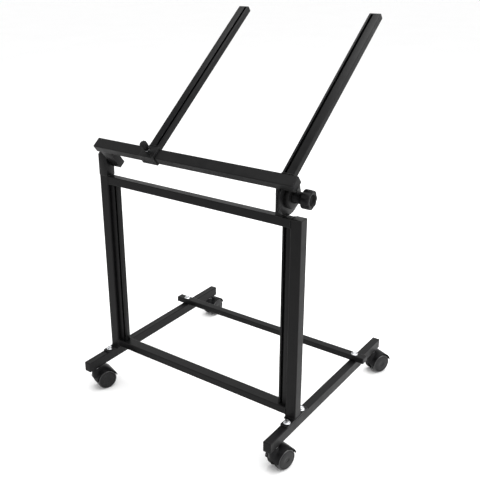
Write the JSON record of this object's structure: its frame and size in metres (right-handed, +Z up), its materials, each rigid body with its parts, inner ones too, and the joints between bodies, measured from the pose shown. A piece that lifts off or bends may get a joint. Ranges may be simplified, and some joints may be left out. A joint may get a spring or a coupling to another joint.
{
  "type": "equipment_rack_stand",
  "caption": "Black steel rolling equipment stand with slotted 19-inch rack rails, a tilting head with one fixed and one sliding slotted arm, and swivelling twin-wheel casters",
  "frame": {"origin": "on the floor, under the middle of the base's side rails and crossbars", "axes": "+X right, +Y back, +Z up, seen by someone who faces the stand's front"},
  "size_m": [0.5933, 0.5508, 0.9116],
  "materials": {
    "frame_paint": "semi-gloss black powder coat",
    "black_plastic": "fine-textured black moulded plastic",
    "wheel_plastic": "glossy black moulded wheels",
    "zinc_plate": "bright zinc-plated steel",
    "brass": "turned brass insert"
  },
  "bodies": {
    "root": {"rail_left": "frame_paint", "rail_right": "frame_paint", "rail_plugs": "black_plastic", "caster_sockets": "zinc_plate", "foot_plate_left": "frame_paint", "foot_plate_right": "frame_paint", "foot_bolts": "zinc_plate", "base_nuts": "zinc_plate", "upright_left": "frame_paint", "upright_right": "frame_paint", "upright_cap": "frame_paint", "slot_rail_left": "frame_paint", "slot_rail_right": "frame_paint", "front_crossbar": "frame_paint", "top_crossbar": "frame_paint", "rear_crossbar": "frame_paint", "rear_bar_plugs": "black_plastic", "rear_bolts": "zinc_plate", "pivot_post_left": "frame_paint", "pivot_post_right": "frame_paint", "post_cap": "black_plastic", "pivot_bolt_left": "zinc_plate", "pivot_stud_right": "zinc_plate", "fixed_disc": "frame_paint"},
    "head": {"tilt_bar": "frame_paint", "tilt_bar_plugs": "black_plastic", "pivot_ear_left": "frame_paint", "clutch_disc": "frame_paint", "pivot_boss": "frame_paint", "arm_right": "frame_paint", "arm_plug_right": "black_plastic"},
    "sliding_arm": {"arm_sleeve": "frame_paint", "sleeve_gusset": "frame_paint", "thumb_nut": "zinc_plate", "arm_left": "frame_paint", "arm_plug_left": "black_plastic"},
    "thumb_turn": {"thumb_knob": "black_plastic", "thumb_screw": "zinc_plate"},
    "knob_turn": {"star_knob": "black_plastic", "knob_insert": "brass"},
    "caster_1": {"caster_stem_1": "zinc_plate", "caster_hood_1": "black_plastic", "caster_axle_1": "zinc_plate"},
    "wheel_left_1": {"caster_wheel_left_1": "wheel_plastic"},
    "wheel_right_1": {"caster_wheel_right_1": "wheel_plastic"},
    "caster_2": {"caster_stem_2": "zinc_plate", "caster_hood_2": "black_plastic", "caster_axle_2": "zinc_plate"},
    "wheel_left_2": {"caster_wheel_left_2": "wheel_plastic"},
    "wheel_right_2": {"caster_wheel_right_2": "wheel_plastic"},
    "caster_3": {"caster_stem_3": "zinc_plate", "caster_hood_3": "black_plastic", "caster_axle_3": "zinc_plate"},
    "wheel_left_3": {"caster_wheel_left_3": "wheel_plastic"},
    "wheel_right_3": {"caster_wheel_right_3": "wheel_plastic"},
    "caster_4": {"caster_stem_4": "zinc_plate", "caster_hood_4": "black_plastic", "caster_axle_4": "zinc_plate"},
    "wheel_left_4": {"caster_wheel_left_4": "wheel_plastic"},
    "wheel_right_4": {"caster_wheel_right_4": "wheel_plastic"}
  },
  "joints": [
    {"name": "tilt_hinge", "type": "hinge", "parent": "root", "child": "head", "pos_m": [0, -0.153, 0.59], "axis": [1, 0, 0], "range_deg": [-37.8, 42.2]},
    {"name": "arm_slide", "type": "slide", "parent": "head", "child": "sliding_arm", "axis": [1, 0, 0], "range_m": [-0.1406, 0.28]},
    {"name": "thumb_screw_turn", "type": "hinge", "parent": "sliding_arm", "child": "thumb_turn", "pos_m": [-0.097, -0.18819, 0.63863], "axis": [0, -0.6129, 0.7902], "range_deg": [0, 360]},
    {"name": "star_knob_turn", "type": "hinge", "parent": "root", "child": "knob_turn", "pos_m": [0.26, -0.153, 0.59], "axis": [1, 0, 0], "range_deg": [0, 360]},
    {"name": "swivel_1", "type": "hinge", "parent": "root", "child": "caster_1", "pos_m": [0.2635, -0.2355, 0.05], "axis": [0, 0, 1], "continuous": true},
    {"name": "roll_left_1", "type": "hinge", "parent": "caster_1", "child": "wheel_left_1", "pos_m": [0.26882, -0.21415, 0.025], "axis": [0.9703, -0.2419, 0], "continuous": true},
    {"name": "roll_right_1", "type": "hinge", "parent": "caster_1", "child": "wheel_right_1", "pos_m": [0.26882, -0.21415, 0.025], "axis": [0.9703, -0.2419, 0], "continuous": true},
    {"name": "swivel_2", "type": "hinge", "parent": "root", "child": "caster_2", "pos_m": [0.2635, 0.2355, 0.05], "axis": [0, 0, 1], "continuous": true},
    {"name": "roll_left_2", "type": "hinge", "parent": "caster_2", "child": "wheel_left_2", "pos_m": [0.27245, 0.2556, 0.025], "axis": [0.9135, -0.4067, 0], "continuous": true},
    {"name": "roll_right_2", "type": "hinge", "parent": "caster_2", "child": "wheel_right_2", "pos_m": [0.27245, 0.2556, 0.025], "axis": [0.9135, -0.4067, 0], "continuous": true},
    {"name": "swivel_3", "type": "hinge", "parent": "root", "child": "caster_3", "pos_m": [-0.2635, 0.2355, 0.05], "axis": [0, 0, 1], "continuous": true},
    {"name": "roll_left_3", "type": "hinge", "parent": "caster_3", "child": "wheel_left_3", "pos_m": [-0.2635, 0.2575, 0.025], "axis": [1, 0, 0], "continuous": true},
    {"name": "roll_right_3", "type": "hinge", "parent": "caster_3", "child": "wheel_right_3", "pos_m": [-0.2635, 0.2575, 0.025], "axis": [1, 0, 0], "continuous": true},
    {"name": "swivel_4", "type": "hinge", "parent": "root", "child": "caster_4", "pos_m": [-0.2635, -0.2355, 0.05], "axis": [0, 0, 1], "continuous": true},
    {"name": "roll_left_4", "type": "hinge", "parent": "caster_4", "child": "wheel_left_4", "pos_m": [-0.25562, -0.21496, 0.025], "axis": [0.9336, -0.3584, 0], "continuous": true},
    {"name": "roll_right_4", "type": "hinge", "parent": "caster_4", "child": "wheel_right_4", "pos_m": [-0.25562, -0.21496, 0.025], "axis": [0.9336, -0.3584, 0], "continuous": true}
  ]
}
